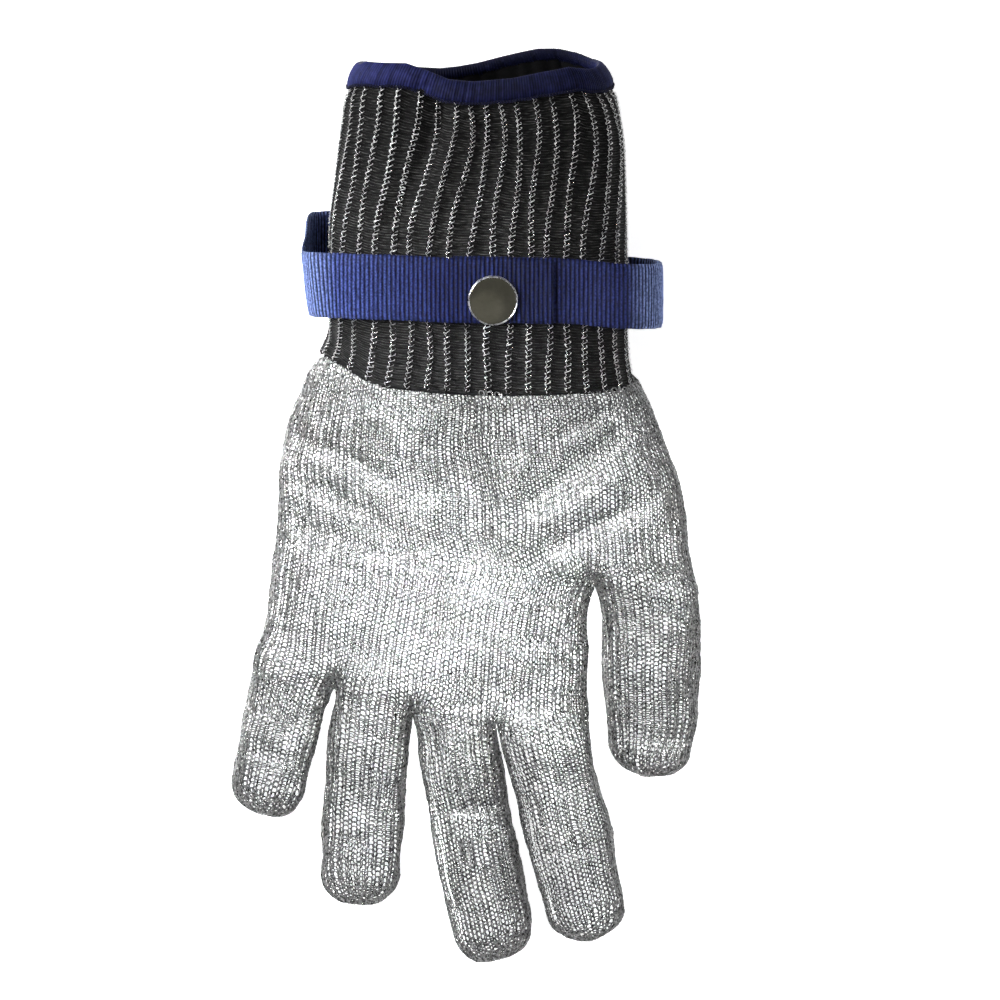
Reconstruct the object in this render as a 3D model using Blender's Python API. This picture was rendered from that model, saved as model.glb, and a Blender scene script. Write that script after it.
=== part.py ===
"""Cut-resistant knitted steel glove lying palm up, with a rib cuff, a bound edge and a snap strap.

Metres, +Z up. The fingers point to -Y, the cuff opens to +Y and the palm's underside lies on z = 0.
Lengths below are millimetres in the glove's own frame; ORIGIN is the point of it that becomes x = y = 0.
"""

import math

import bmesh
import bpy
from mathutils import Vector

MM = 0.001
ORIGIN = (-3.1, -4.62)

AROUND = 24
ROUNDNESS = 2.4
BELLY = 1.08
LEAN_HEIGHT = 20.0
FABRIC_WALL = 1.2
CUFF_WALL = 1.6
GAP = 0.3

# Hand and cuff stations: centre x, centre y, turn in degrees, width, underside z, top z, lean per mm of height.
PALM = [
    (-0.6, 37.6, -5.0, 92.5, 2.0, 43.2, 0.15),
    (-1.8, 31.0, -4.0, 104.0, 1.0, 42.0, 0.12),
    (-1.6, 24.0, -3.0, 110.4, 0.3, 40.5, 0.09),
    (-1.9, 13.0, -2.0, 114.8, 0.0, 38.0, 0.05),
    (-4.2, 0.0, -1.0, 112.5, 0.0, 35.5, 0.02),
    (-9.2, -13.0, -1.0, 104.4, 0.0, 33.0, 0.0),
    (-14.4, -26.0, -2.0, 97.8, 0.0, 30.5, 0.0),
    (-15.8, -38.0, -5.0, 98.8, 0.0, 28.0, 0.0),
    (-16.6, -50.0, -9.0, 101.0, 0.0, 25.5, 0.0),
    (-16.9, -62.0, -13.0, 102.5, 0.0, 23.0, 0.0),
]
CUFF = [
    (0.2, 40.3, -5.0, 90.0, 2.2, 43.4, 0.15),
    (0.4, 50.0, -3.0, 89.6, 2.2, 43.8, 0.10),
    (0.4, 68.0, 0.0, 89.7, 2.2, 44.0, 0.03),
    (0.4, 88.0, 0.0, 89.0, 2.2, 43.4, 0.0),
    (1.3, 106.0, 0.0, 86.5, 2.2, 42.2, 0.0),
    (1.5, 120.0, 0.0, 83.0, 2.4, 41.0, 0.0),
    (1.0, 130.0, 0.0, 79.5, 2.6, 40.0, 0.0),
]
SEAM = [
    (-0.3, 37.9, -5.0, 91.4, 2.0, 43.3, 0.15),
    (-0.1, 40.0, -5.0, 90.6, 2.1, 43.4, 0.15),
]
SEAM_BULGE = 0.25

BINDING_HEIGHT = 7.0
BINDING_THICKNESS = 0.8
BINDING_GAP = 0.2
BINDING_TOP = 131.1

# The thumb's mound runs from the heel of the palm to the thumb's root.
THUMB_MOUND = [
    (31.0, 19.0, 20.0, 30.0, 1.5, 32.0, 0.0),
    (39.4, 7.5, 20.0, 38.0, 0.4, 33.5, 0.0),
    (43.4, -2.0, 18.0, 38.6, 0.4, 32.5, 0.0),
    (48.0, -17.4, 12.0, 32.8, 0.4, 28.5, 0.0),
    (50.8, -25.0, 5.0, 30.4, 0.4, 26.5, 0.0),
]

# Digits: points on the centre line at the root, the two hinges and the tip, and the size at the first three.
DIGITS = {
    "little": {
        "line": [(-53.4, -46.0), (-58.0, -63.5), (-61.4, -79.5), (-64.8, -96.3)],
        "width": (22.0, 24.0, 23.2),
        "height": (20.8, 20.4, 19.2),
    },
    "ring": {
        "line": [(-31.0, -56.0), (-32.4, -73.0), (-34.4, -98.0), (-35.6, -123.6)],
        "width": (24.4, 24.5, 24.4),
        "height": (22.2, 21.4, 20.2),
    },
    "middle": {
        "line": [(-7.6, -62.0), (-4.6, -79.5), (0.4, -107.0), (6.3, -140.3)],
        "width": (24.2, 24.4, 26.0),
        "height": (22.2, 21.6, 20.6),
    },
    "index": {
        "line": [(19.2, -64.0), (23.0, -82.0), (28.2, -105.0), (34.6, -134.1)],
        "width": (25.0, 25.2, 25.4),
        "height": (22.0, 21.4, 20.4),
    },
    "thumb": {
        "line": [(50.8, -25.0), (52.2, -36.0), (53.0, -58.0), (51.2, -83.8)],
        "width": (30.4, 29.4, 28.8),
        "height": (26.1, 24.6, 22.6),
    },
}
DIGIT_LOW = 0.2
TIP_DOME = 11.0
TIP_SHARE = (0.0, 0.35, 0.6, 0.8, 0.93)
TIP_SLIM = 0.96
HINGE_VERTEX = 2
NOTCH_DEG = 37.5

STRAP_WIDTH = 19.5
STRAP_THICKNESS = 1.2
STRAP_STEPS = 5
# Strap centre line: x, z and the y of the band's middle, from the free end's hinge round the back to the inner end.
STRAP_BAND = [
    (-34.15, 46.3, 68.2),
    (-40.5, 43.6, 67.9),
    (-48.3, 36.5, 67.0),
    (-52.2, 25.0, 67.2),
    (-50.6, 10.5, 71.0),
    (-46.2, 3.2, 73.4),
    (-40.0, 0.85, 74.2),
    (-32.0, 0.68, 73.4),
    (1.0, 0.68, 68.2),
    (34.0, 0.68, 63.2),
    (42.5, 0.9, 62.2),
    (49.2, 3.9, 62.0),
    (54.6, 12.5, 62.6),
    (56.2, 25.0, 63.6),
    (51.8, 36.0, 65.0),
    (42.0, 43.0, 66.6),
    (28.0, 45.3, 67.8),
    (13.0, 45.55, 68.2),
    (5.0, 45.55, 68.2),
    (-7.0, 45.55, 68.2),
]
STRAP_FLAP = [
    (-33.85, 46.3, 68.2),
    (-25.0, 47.6, 68.3),
    (-14.0, 48.8, 68.3),
    (-3.5, 49.2, 68.3),
    (13.5, 49.2, 68.2),
    (22.8, 48.4, 68.1),
]
FLAP_HINGE = (-34.0, 46.9, 68.2)

SNAP_CENTRE = (4.8, 65.6)
HOLE_RADIUS = 1.9
# Snap parts: (radius, z) profiles from the axis out and back to the axis.
CAP_PROFILE = [
    (0.0, 48.6), (1.5, 48.6), (1.5, 49.95), (7.3, 49.95), (7.65, 50.3), (7.65, 50.7), (7.1, 51.35),
    (5.4, 51.85), (2.9, 52.15), (0.0, 52.25),
]
SOCKET_PROFILE = [
    (2.1, 46.95), (5.0, 46.95), (5.4, 47.3), (5.4, 48.15), (5.0, 48.45), (1.8, 48.45), (1.8, 48.3), (2.1, 48.1),
]
STUD_PROFILE = [
    (0.0, 46.3), (5.0, 46.3), (5.0, 46.65), (2.6, 46.75), (1.75, 47.1), (1.95, 47.6), (1.6, 48.1),
    (0.0, 48.2),
]
EYELET_PROFILE = [
    (0.0, 44.45), (4.6, 44.45), (4.6, 44.8), (1.6, 44.85), (1.6, 46.15), (0.0, 46.15),
]
ROUND_SEGMENTS = 32

TACK_SIZE = (14.0, 10.0, 0.35)
TACK_CENTRE = (1.0, 68.2, 1.72)


def clear_scene():
    for found in list(bpy.data.objects):
        bpy.data.objects.remove(found, do_unlink=True)


def make_material(name, colour, roughness, metallic):
    made = bpy.data.materials.new(name)
    made.use_nodes = True
    shader = made.node_tree.nodes["Principled BSDF"]
    shader.inputs["Base Color"].default_value = (*colour, 1.0)
    shader.inputs["Roughness"].default_value = roughness
    shader.inputs["Metallic"].default_value = metallic
    return made


def to_world(point):
    """A point in the glove's millimetres as metres in the row frame."""
    x, y, z = point
    return Vector(((x - ORIGIN[0]) * MM, (y - ORIGIN[1]) * MM, z * MM))


def add_object(name, points, faces, material, pivot=None, smooth=True):
    """Adds a mesh given in the glove's millimetres, with its origin at the pivot."""
    origin = to_world(pivot) if pivot else Vector((0.0, 0.0, 0.0))
    mesh = bpy.data.meshes.new(name)
    mesh.from_pydata([tuple(to_world(p) - origin) for p in points], [], faces)
    work = bmesh.new()
    work.from_mesh(mesh)
    bmesh.ops.recalc_face_normals(work, faces=work.faces)
    for face in work.faces:
        face.smooth = smooth
    work.to_mesh(mesh)
    work.free()
    mesh.materials.append(material)
    made = bpy.data.objects.new(name, mesh)
    made.location = origin
    bpy.context.collection.objects.link(made)
    return made


def signed_power(value, power):
    return math.copysign(abs(value) ** power, value)


def oval(width, low, high, grow):
    """A rounded section with a flat underside, as (across, z) pairs from its right side upwards."""
    half_width = width / 2 + grow
    bottom = low - grow
    top = high + grow
    half_height = (top - bottom) / 2 * BELLY
    middle = top - half_height
    section = []
    for step in range(AROUND):
        angle = 2 * math.pi * step / AROUND
        across = half_width * signed_power(math.cos(angle), 2 / ROUNDNESS)
        height = middle + half_height * signed_power(math.sin(angle), 2 / ROUNDNESS)
        section.append((across, max(height, bottom)))
    return section


def ring(station, grow=0.0, notch=0.0, shift=0.0):
    """A station's section in space. notch opens the part above the hinge, and shift moves it all, along the line."""
    x, y, turn, width, low, high, lean = station
    cos_turn = math.cos(math.radians(turn))
    sin_turn = math.sin(math.radians(turn))
    section = oval(width, low, high, grow)
    hinge_z = oval(width, low, high, 0.0)[HINGE_VERTEX][1]
    points = []
    for across, z in section:
        along = lean * (z - LEAN_HEIGHT) + shift
        if notch:
            along += math.copysign(1.0, notch) * GAP / 2
            along += math.tan(math.radians(notch)) * max(0.0, z - hinge_z)
        points.append((x + across * cos_turn + along * sin_turn, y + across * sin_turn - along * cos_turn, z))
    return points


def mixed(first, second, share):
    return tuple(a + (b - a) * share for a, b in zip(first, second))


def station_at(stations, y):
    """The station of a list that runs up in y, at a given y."""
    for first, second in zip(stations, stations[1:]):
        if y <= second[1]:
            return mixed(first, second, (y - first[1]) / (second[1] - first[1]))
    return stations[-1]


def sleeve(rings, closed):
    """Faces that join rings in order. closed joins the last ring to the first; otherwise both ends get a cap."""
    count = len(rings[0])
    points = [point for one in rings for point in one]
    faces = []
    pairs = len(rings) if closed else len(rings) - 1
    for index in range(pairs):
        here = index * count
        there = (index + 1) % len(rings) * count
        for step in range(count):
            after = (step + 1) % count
            faces.append((here + step, here + after, there + after, there + step))
    if not closed:
        faces.extend(caps(0, count))
        faces.extend(caps((len(rings) - 1) * count, count))
    return points, faces


def caps(start, count):
    """An end cap in two flat faces, above and below the hinge line."""
    left = count // 2 - HINGE_VERTEX
    upper = [start + step for step in range(HINGE_VERTEX, left + 1)]
    lower = [start + step % count for step in range(left, count + HINGE_VERTEX + 1)]
    return [tuple(upper), tuple(lower)]


def digit_stations(digit):
    """Stations at the root, square to the centre line, and at the two hinges, which all lie along X."""
    line = digit["line"]
    root_turn = math.degrees(math.atan2(line[1][0] - line[0][0], line[0][1] - line[1][1]))
    stations = []
    for point, turn, width, height in zip(line, (root_turn, 0.0, 0.0), digit["width"], digit["height"]):
        stations.append((*point, turn, width, DIGIT_LOW, DIGIT_LOW + height, 0.0))
    return stations


def tip_stations(digit, grow):
    """Stations from the second hinge to the rounded tip of a digit, already grown."""
    hinge = digit_stations(digit)[-1]
    tip_x, tip_y = digit["line"][-1]
    length = math.hypot(tip_x - hinge[0], tip_y - hinge[1])
    turn = math.degrees(math.atan2(tip_x - hinge[0], hinge[1] - tip_y))
    dome = TIP_DOME + grow
    stations = []
    for share in TIP_SHARE:
        along = (length - TIP_DOME + dome * share) / length
        shrink = math.sqrt(1.0 - share * share)
        width = (hinge[3] * TIP_SLIM + 2 * grow) * shrink
        height = ((hinge[5] - hinge[4]) * TIP_SLIM + 2 * grow) * shrink
        middle = hinge[4] + (hinge[5] - hinge[4]) * TIP_SLIM / 2
        x = hinge[0] + (tip_x - hinge[0]) * along
        y = hinge[1] + (tip_y - hinge[1]) * along
        stations.append((x, y, turn, width, middle - height / 2, middle + height / 2, 0.0))
    return stations


def solid_loft(name, rings, material):
    points, faces = sleeve(rings, closed=False)
    return add_object(name, points, faces, material)


def boolean(target, tool, operation):
    """Applies a Boolean to the target's mesh and removes the tool."""
    modifier = target.modifiers.new(operation, "BOOLEAN")
    modifier.operation = operation
    modifier.solver = "EXACT"
    modifier.object = tool
    graph = bpy.context.evaluated_depsgraph_get()
    graph.update()
    result = bpy.data.meshes.new_from_object(target.evaluated_get(graph))
    target.modifiers.clear()
    target.data = result
    bpy.data.objects.remove(tool, do_unlink=True)


def end_moved(station, distance):
    """The same station further along its own line."""
    turn = math.radians(station[2])
    moved = (station[0] + distance * math.sin(turn), station[1] - distance * math.cos(turn))
    return (*moved, *station[2:])


def build_palm(material):
    """The palm with five short roots, hollow and open at the wrist and at each root."""
    outer_palm = [ring(s) for s in PALM]
    inner_palm = [ring(s, -FABRIC_WALL) for s in [end_moved(PALM[0], -5.0)] + PALM[:-1]]
    inner_palm.append(ring(end_moved(PALM[-1], -FABRIC_WALL), -FABRIC_WALL))
    palm = solid_loft("palm_shell", outer_palm, material)
    hollow = solid_loft("palm_hollow", inner_palm, material)
    for name, digit in DIGITS.items():
        stations = digit_stations(digit)
        start = THUMB_MOUND if name == "thumb" else stations[:1]
        outer = [ring(s) for s in start] + [ring(stations[1], notch=-NOTCH_DEG)]
        inner = [ring(s, -FABRIC_WALL) for s in start] + [ring(end_moved(stations[1], 3.0), -FABRIC_WALL)]
        boolean(palm, solid_loft(name + "_root", outer, material), "UNION")
        boolean(hollow, solid_loft(name + "_hollow", inner, material), "UNION")
    boolean(palm, hollow, "DIFFERENCE")


def build_digit(name, digit, material):
    """A digit's base tube and its closed tip, each with its origin on its own hinge."""
    stations = digit_stations(digit)
    pivots = [(s[0], s[1], oval(s[3], s[4], s[5], 0.0)[HINGE_VERTEX][1]) for s in stations[1:]]
    first, second = stations[1:]
    halfway = mixed(first, second, 0.5)
    outer = [ring(first, 0.0, NOTCH_DEG), ring(halfway), ring(second, 0.0, -NOTCH_DEG)]
    inner = [ring(first, -FABRIC_WALL, NOTCH_DEG), ring(halfway, -FABRIC_WALL)]
    inner.append(ring(second, -FABRIC_WALL, -NOTCH_DEG))
    points, faces = sleeve(outer + inner[::-1], closed=True)
    add_object(name + "_base", points, faces, material, pivots[0])

    outside = [ring(s) for s in tip_stations(digit, 0.0)]
    inside = [ring(s) for s in tip_stations(digit, -FABRIC_WALL)]
    rings = outside[::-1] + [ring(second, 0.0, NOTCH_DEG), ring(second, -FABRIC_WALL, NOTCH_DEG)] + inside
    points, faces = sleeve(rings, closed=False)
    add_object(name + "_tip", points, faces, material, pivots[1])


def build_tube(name, stations, grow, wall, material):
    outer = [ring(s, grow) for s in stations]
    inner = [ring(s, -wall) for s in reversed(stations)]
    points, faces = sleeve(outer + inner, closed=True)
    add_object(name, points, faces, material)


def build_binding(material):
    """A band folded over the cuff's edge, with a U-shaped section."""
    low = BINDING_TOP - BINDING_HEIGHT
    edge = CUFF[-1][1]
    inside = -CUFF_WALL - BINDING_GAP
    skin = BINDING_GAP + BINDING_THICKNESS
    profile = [
        (low, skin),
        (edge, skin),
        (BINDING_TOP, skin / 2),
        (BINDING_TOP, -CUFF_WALL - skin / 2),
        (edge, -CUFF_WALL - skin),
        (low, -CUFF_WALL - skin),
        (low, inside),
        (edge + BINDING_GAP, inside),
        (edge + BINDING_GAP, BINDING_GAP),
        (low, BINDING_GAP),
    ]
    rings = []
    for y, grow in profile:
        station = station_at(CUFF, min(y, edge))
        rings.append(ring((station[0], y, *station[2:]), grow))
    points, faces = sleeve(rings, closed=True)
    add_object("edge_binding", points, faces, material)


def smooth_line(points, steps):
    """A Catmull-Rom line through the points."""
    padded = [points[0]] + points + [points[-1]]
    line = []
    for p0, p1, p2, p3 in zip(padded, padded[1:], padded[2:], padded[3:]):
        for step in range(steps):
            t = step / steps
            blend = (
                -0.5 * t + t * t - 0.5 * t ** 3,
                1.0 - 2.5 * t * t + 1.5 * t ** 3,
                0.5 * t + 2.0 * t * t - 1.5 * t ** 3,
                -0.5 * t * t + 0.5 * t ** 3,
            )
            line.append(tuple(sum(w * p[axis] for w, p in zip(blend, (p0, p1, p2, p3))) for axis in range(3)))
    line.append(points[-1])
    return line


def webbing(name, points, material, pivot=None):
    """A flat band along a line of x, z and middle y."""
    line = smooth_line(points, STRAP_STEPS)
    half = STRAP_THICKNESS / 2
    side = STRAP_WIDTH / 2
    rings = []
    for index, (x, z, y) in enumerate(line):
        before = line[max(index - 1, 0)]
        after = line[min(index + 1, len(line) - 1)]
        run = Vector((after[0] - before[0], after[1] - before[1])).normalized()
        up = (-run.y * half, run.x * half)
        if index in (0, len(line) - 1):
            up = (0.0, math.copysign(half, run.x))
        rings.append([
            (x + up[0], y - side, z + up[1]),
            (x + up[0], y + side, z + up[1]),
            (x - up[0], y + side, z - up[1]),
            (x - up[0], y - side, z - up[1]),
        ])
    count = 4
    points = [point for one in rings for point in one]
    faces = [(0, 1, 2, 3), tuple(len(points) - 4 + step for step in range(count))]
    for index in range(len(rings) - 1):
        for step in range(count):
            after = (step + 1) % count
            here = index * count
            faces.append((here + step, here + after, here + count + after, here + count + step))
    return add_object(name, points, faces, material, pivot, smooth=False)


def turned(name, profile, material, pivot=None):
    """A solid of revolution about the snap's axis. A profile that leaves the axis at both ends makes a ring."""
    points = []
    rows = []
    for radius, z in profile:
        if radius == 0.0:
            rows.append([len(points)])
            points.append((*SNAP_CENTRE, z))
            continue
        rows.append(list(range(len(points), len(points) + ROUND_SEGMENTS)))
        for step in range(ROUND_SEGMENTS):
            angle = 2 * math.pi * step / ROUND_SEGMENTS
            x = SNAP_CENTRE[0] + radius * math.cos(angle)
            y = SNAP_CENTRE[1] + radius * math.sin(angle)
            points.append((x, y, z))
    is_ring = profile[0][0] > 0.0
    following = rows[1:] + ([rows[0]] if is_ring else [])
    faces = []
    for first, second in zip(rows, following):
        for step in range(ROUND_SEGMENTS):
            after = (step + 1) % ROUND_SEGMENTS
            if len(first) == 1:
                faces.append((first[0], second[step], second[after]))
            elif len(second) == 1:
                faces.append((first[step], first[after], second[0]))
            else:
                faces.append((first[step], first[after], second[after], second[step]))
    return add_object(name, points, faces, material, pivot)


def build_strap(webbing_material, thread, nickel):
    hinge = (FLAP_HINGE[0], FLAP_HINGE[2], FLAP_HINGE[1])
    band = webbing("strap_band", STRAP_BAND, webbing_material)
    flap = webbing("strap_flap", STRAP_FLAP, webbing_material, hinge)
    for strap in (band, flap):
        top = 60.0 if strap is flap else 47.0
        bottom = 47.0 if strap is flap else 40.0
        tool = turned("hole", [(0.0, bottom), (HOLE_RADIUS, bottom), (HOLE_RADIUS, top), (0.0, top)], nickel)
        boolean(strap, tool, "DIFFERENCE")
    turned("snap_cap", CAP_PROFILE, nickel, hinge)
    turned("snap_socket", SOCKET_PROFILE, nickel, hinge)
    turned("snap_stud", STUD_PROFILE, nickel)
    turned("snap_eyelet", EYELET_PROFILE, nickel)

    x, y, z = TACK_CENTRE
    half = [size / 2 for size in TACK_SIZE]
    corners = [
        (x + i * half[0], y + j * half[1], z + k * half[2])
        for k in (-1, 1) for i, j in ((-1, -1), (1, -1), (1, 1), (-1, 1))
    ]
    faces = [(0, 3, 2, 1), (4, 5, 6, 7), (0, 1, 5, 4), (1, 2, 6, 5), (2, 3, 7, 6), (3, 0, 4, 7)]
    add_object("strap_tack", corners, faces, thread, smooth=False)


def main():
    clear_scene()
    steel = make_material("steel_knit", (0.55, 0.55, 0.54), 0.35, 1.0)
    rib = make_material("black_rib_knit", (0.02, 0.02, 0.02), 0.8, 0.0)
    blue_thread = make_material("blue_thread", (0.02, 0.03, 0.18), 0.6, 0.0)
    blue_webbing = make_material("blue_webbing", (0.03, 0.05, 0.32), 0.5, 0.0)
    nickel = make_material("black_nickel", (0.35, 0.34, 0.32), 0.15, 1.0)

    build_palm(steel)
    for name, digit in DIGITS.items():
        build_digit(name, digit, steel)
    build_tube("cuff_seam", SEAM, SEAM_BULGE, FABRIC_WALL + SEAM_BULGE, rib)
    build_tube("rib_cuff", CUFF, 0.0, CUFF_WALL, rib)
    build_binding(blue_thread)
    build_strap(blue_webbing, blue_thread, nickel)


main()
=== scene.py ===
"""The look of a knitted steel glove: wire knit, rib cuff, overlocked edge, webbing strap and snap.

Lengths are millimetres in the glove's own frame, as in the CAD, and become metres when a mesh is made.
"""

import math

import bpy
import numpy as np
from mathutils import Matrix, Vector


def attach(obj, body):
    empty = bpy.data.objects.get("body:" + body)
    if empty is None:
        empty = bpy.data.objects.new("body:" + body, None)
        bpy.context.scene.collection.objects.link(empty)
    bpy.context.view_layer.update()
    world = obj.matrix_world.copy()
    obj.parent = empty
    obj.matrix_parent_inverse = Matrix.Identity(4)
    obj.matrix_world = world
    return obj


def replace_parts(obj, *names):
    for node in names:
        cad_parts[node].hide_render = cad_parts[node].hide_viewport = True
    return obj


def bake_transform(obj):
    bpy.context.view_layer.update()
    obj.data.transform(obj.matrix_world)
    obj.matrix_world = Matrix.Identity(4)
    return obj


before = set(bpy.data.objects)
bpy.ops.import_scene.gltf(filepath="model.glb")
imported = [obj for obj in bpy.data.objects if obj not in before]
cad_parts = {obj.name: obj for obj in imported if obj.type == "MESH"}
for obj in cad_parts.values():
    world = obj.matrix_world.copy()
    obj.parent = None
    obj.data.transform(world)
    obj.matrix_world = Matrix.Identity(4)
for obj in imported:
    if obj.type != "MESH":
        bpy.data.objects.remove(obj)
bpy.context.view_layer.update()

MM = 0.001
TINY = 1e-9
# The part's origin, in the glove's own frame.
ORIGIN = np.array([-3.1, -4.62, 0.0])
RANDOM = np.random.default_rng(7)

# Sections are rounded boxes, squarer with more roundness, drawn BELLY times too tall and cut off below.
ROUNDNESS = 2.4
DIGIT_ROUNDNESS = 2.9
BELLY = 1.08
SECTION_POINTS = 721

# Knit: columns of stitches on the front (or back) of each part, and on each side of a tube.
FINGER_FRONT = 10
THUMB_FRONT = 12
SIDE = 4
PALM_FRONT = 4 * FINGER_FRONT
# One stitch: points along it, the wire's radius, and the loop's shape in stitches, rows and mm of depth.
SAMPLES = 10
WIRE = 0.221
LOOP_WIDTH = 1.05
LOOP_PINCH = 0.4
LOOP_HEIGHT = 0.84
LOOP_DEPTH = 0.21
ROW_PITCH = 1.43
# The knit's middle lies this far outside the stations.
SKIN = -0.45
JITTER = 0.11
ROW_SLACK = 0.05
COLUMN_SLACK = 0.06
# Nothing comes nearer the floor than this.
KNIT_FLOOR = 0.05
CUFF_FLOOR = 0.1
WEBBING_FLOOR = 0.03

# Hand stations that run from the cuff to the fingers: y, left edge, right edge, underside, top.
UPPER_HAND = [
    (47.5, -45.6, 45.2, 2.2, 43.4),
    (44, -47, 45.4, 2.1, 43.3),
    (40.5, -49.8, 45.8, 2, 43.1),
    (36.6, -51.8, 48, 1.8, 42.8),
    (32.5, -53.2, 51, 1.2, 42),
    (28, -55, 53.2, 0.6, 41),
    (22, -57.2, 54.8, 0.2, 39.6),
    (13, -59.5, 57.4, 0, 37.4),
    (5, -60, 61, 0, 35.8),
    (-4, -60.2, 62.7, 0, 34),
    (-13, -60.5, 63.6, 0, 32.2),
    (-22, -61.7, 64.8, 0, 30.4),
    (-31, -62.8, 65.8, 0, 28.6),
    (-48, -65.4, 67.2, 0, 26),
]
LOWER_HAND = [
    (0, -60.1, 37, 0, 34.6),
    (-13, -60.3, 37.4, 0, 32.4),
    (-24, -61.8, 36.8, 0, 30.4),
    (-31, -62.9, 34.2, 0, 29),
    (-38, -63.9, 33.4, 0, 27.8),
    (-50, -66.8, 33.3, 0, 25.4),
    (-62, -68.8, 33.3, 0, 23.4),
    (-78, -71, 34.2, 0, 22),
]
# Lines of x and y on which the rows of one part end and those of the next begin.
THUMB_LINE = [(-63, -11.3), (35.4, -26.7), (66, -30)]
FINGER_LINE = [(-68, -50), (-44, -57), (-19, -66), (6.3, -71.5), (33.4, -75)]
UPPER_ROWS = 43
LOWER_ROWS = 31
UPPER_PIECES = [(0, 14), (14, 28), (28, UPPER_ROWS)]
LOWER_PIECES = [(1, 15), (15, LOWER_ROWS)]
# How far above those lines a part starts to take on the shape of its children.
THUMB_MERGE = 10.0
FINGER_MERGE = 11.0

# Digits. line: x, y, width and height from root to tip. faces: whether the left and right sides face another
# digit. wire: its radius. slack: how much finer it is at the left. knuckle, bend: y of each bend's two ends.
DIGITS = {
    "little": {
        "line": [
            (-51.4, -38, 26.4, 22.6), (-54.4, -52, 26.6, 21.6), (-56.6, -60, 24.2, 20.8),
            (-58.3, -66, 23.2, 20.4), (-61.2, -79.5, 23, 19.6), (-63.4, -90, 22.6, 19),
            (-65.2, -97.2, 22, 18.6),
        ],
        "faces": (False, True), "wire": 0.267, "slack": 0.1,
        "knuckle": (-57.5, -69.5), "bend": (-73.5, -85.5),
    },
    "ring": {
        "line": [
            (-30.4, -46, 27.4, 23.2), (-30.8, -54, 26.8, 22.6), (-31, -61, 24, 22),
            (-32.4, -73, 24.6, 21.4), (-34.3, -98, 24.6, 20.2), (-35.1, -113, 24.2, 19.4),
            (-35.6, -125, 23.6, 19),
        ],
        "faces": (True, True), "wire": 0.247, "slack": 0.15, "knuckle": (-65, -81), "bend": (-90, -106),
    },
    "middle": {
        "line": [
            (-9, -50, 26.4, 23.2), (-7, -64, 26.2, 22.2), (-6.1, -72, 23.8, 21.8),
            (-5.5, -79.5, 23.7, 21.6), (-2.7, -94, 25.1, 21), (1.6, -119, 25.4, 20), (7, -142, 22.8, 19.4),
        ],
        "faces": (True, True), "wire": 0.289, "slack": 0.55, "knuckle": (-71.5, -87.5), "bend": (-98, -116),
    },
    "index": {
        "line": [
            (16, -50, 27, 23.2), (18.8, -66, 27, 22.2), (21, -76, 26.2, 21.6), (22.7, -84, 26.2, 21.4),
            (27.8, -105, 26.2, 20.4), (31.3, -120, 24.7, 19.8), (35.1, -135.3, 23.4, 19.2),
        ],
        "faces": (True, False), "wire": 0.258, "slack": 0.5, "knuckle": (-74, -90), "bend": (-97, -113),
    },
    "thumb": {
        "line": [
            (47.2, -8, 32.6, 30), (50, -20, 32.4, 27.6), (51.2, -27, 31.2, 26.4), (52.3, -36, 29.4, 24.8),
            (52.9, -52, 29.6, 23.2), (52.8, -68, 28, 22), (51.2, -85.2, 22.4, 20.6),
        ],
        "faces": (True, False), "wire": 0.28, "slack": 0.1, "knuckle": (-28, -44), "bend": (-50, -66),
    },
}
DIGIT_LOW = 0.2
# How far the crotches reach up between the digits.
CROTCH_LIFT = 3.4
# Folds, creases and pads of the hand: height, start, end and half width.
FOLDS = [
    (-5.2, (-9, 42), (1, -20), 6.4),
    (2, (4, 38), (10, -8), 4),
    (-3.5, (12, -2), (50, 27), 3.4),
    (2, (14, -9), (54, 16), 3),
    (-3, (17, -17), (54, 3), 3.2),
    (-2.8, (24, 22), (50, 33), 2.6),
    (-3, (-52, 20), (-26, 8), 2.6),
    (-2.8, (-56, 8), (-30, -3), 2.6),
    (-2.6, (-57, -6), (-28, -15), 2.6),
    (-1.6, (-14, -96), (12, -92), 1.8),
    (-1, (-48, -110), (-24, -113), 1.6),
    (-1, (16, -109), (42, -105), 1.6),
    (-1, (-72, -76), (-50, -80), 1.6),
]
# A digit's rounded end: length, bluntness, rows, and where they stop, in degrees of a quarter turn.
DOME = 11.0
DOME_POWER = 0.8
DOME_ROWS = 11
DOME_END = 83.0
DOME_TIP_WIDTH = 1.2


def to_metres(points):
    return (np.asarray(points, float) - ORIGIN) * MM


def smooth_step(value):
    value = np.clip(value, 0.0, 1.0)
    return value * value * (3.0 - 2.0 * value)


def rise(value, start, width):
    """0 up to start, 1 from width beyond it, and smooth between."""
    return smooth_step((value - start) / width)


def bell(value, centre, width):
    return np.exp(-(((value - centre) / width) ** 2))


def smoothed(fields, span):
    """Each field averaged over an odd span of samples, with its ends kept in place."""
    kernel = np.ones(span) / span
    padded = [np.pad(field, span // 2, mode="reflect", reflect_type="odd") for field in fields]
    return [np.convolve(field, kernel, "valid") for field in padded]


def unit(vectors):
    return vectors / (np.linalg.norm(vectors, axis=-1, keepdims=True) + TINY)


def raised(points, floor):
    """The points, with none lower than floor."""
    points[..., 2] = np.maximum(points[..., 2], floor)
    return points


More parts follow.
